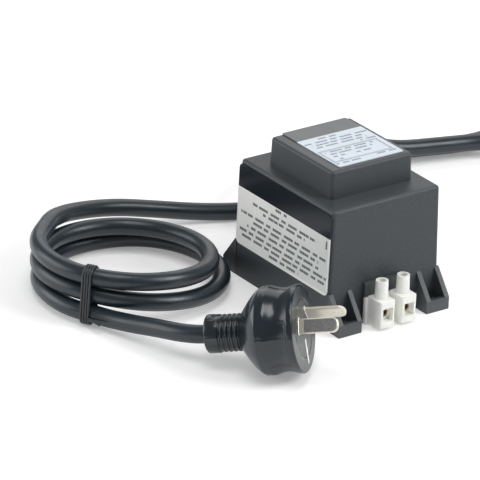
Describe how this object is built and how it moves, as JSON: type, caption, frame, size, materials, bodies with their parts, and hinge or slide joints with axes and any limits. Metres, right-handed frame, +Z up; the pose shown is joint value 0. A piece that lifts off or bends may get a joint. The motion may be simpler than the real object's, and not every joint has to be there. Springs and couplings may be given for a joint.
{
  "type": "low voltage landscape transformer",
  "caption": "Potted low voltage transformer in a moulded case with fixing lugs, screw terminals and a coiled mains lead that ends in a moulded plug.",
  "frame": {"origin": "middle of the base, at the centre of the four fixing holes, on the plane that the case stands on", "axes": "+X towards the screw terminals, -Y is the long side with the label, +Z up from the base"},
  "size_m": [0.1939, 0.3943, 0.0671],
  "materials": {
    "case_plastic": "fine moulded satin",
    "resin": "cast resin",
    "lamination": "laminated steel",
    "bobbin_plastic": "moulded",
    "copper_wire": "enamelled wire",
    "tape": "film tape",
    "brass": "plain brass",
    "screw_steel": "zinc plated",
    "nylon": "natural nylon",
    "label_silver": "printed plate",
    "label_white": "printed plate",
    "cord_pvc": "soft satin",
    "core_insulation": "insulated wire",
    "plug_pvc": "soft satin",
    "insert_plastic": "moulded",
    "nickel": "plated brass",
    "tie_wire": "coated wire",
    "cutout_shell": "plain"
  },
  "bodies": {
    "base": {"case": "case_plastic", "potting_fill": "resin", "core_e": "lamination", "core_i": "lamination", "bobbin": "bobbin_plastic", "winding_tags": "brass", "primary_winding": "copper_wire", "primary_tape": "tape", "secondary_winding": "copper_wire", "secondary_tape": "tape", "thermal_cutout": "cutout_shell", "cutout_lead": "core_insulation", "mains_core_live": "core_insulation", "mains_core_neutral": "core_insulation", "secondary_lead_a": "core_insulation", "secondary_lead_b": "core_insulation", "jacket_end": "cord_pvc", "cord_anchor": "insert_plastic", "strain_relief": "plug_pvc", "terminal_housing": "nylon", "terminal_barrel_a": "brass", "terminal_barrel_b": "brass", "front_label": "label_silver", "top_label": "label_white", "cord_out": "cord_pvc", "spare_coil": "cord_pvc", "spare_tie": "tie_wire", "cord_return": "cord_pvc", "cord_coil": "cord_pvc", "coil_tie": "tie_wire", "cord_lead": "cord_pvc", "plug_body": "plug_pvc", "pin_carrier": "insert_plastic", "plug_pin_active": "nickel", "plug_pin_neutral": "nickel", "plug_core_active": "core_insulation", "plug_core_neutral": "core_insulation", "earth_blank": "nickel"},
    "screw_a": {"clamp_screw_a": "screw_steel"},
    "screw_b": {"clamp_screw_b": "screw_steel"}
  },
  "joints": [
    {"name": "clamp_a", "type": "slide", "parent": "base", "child": "screw_a", "axis": [0, 0, -1], "range_m": [0, 0.0026]},
    {"name": "clamp_b", "type": "slide", "parent": "base", "child": "screw_b", "axis": [0, 0, -1], "range_m": [0, 0.0026]}
  ]
}
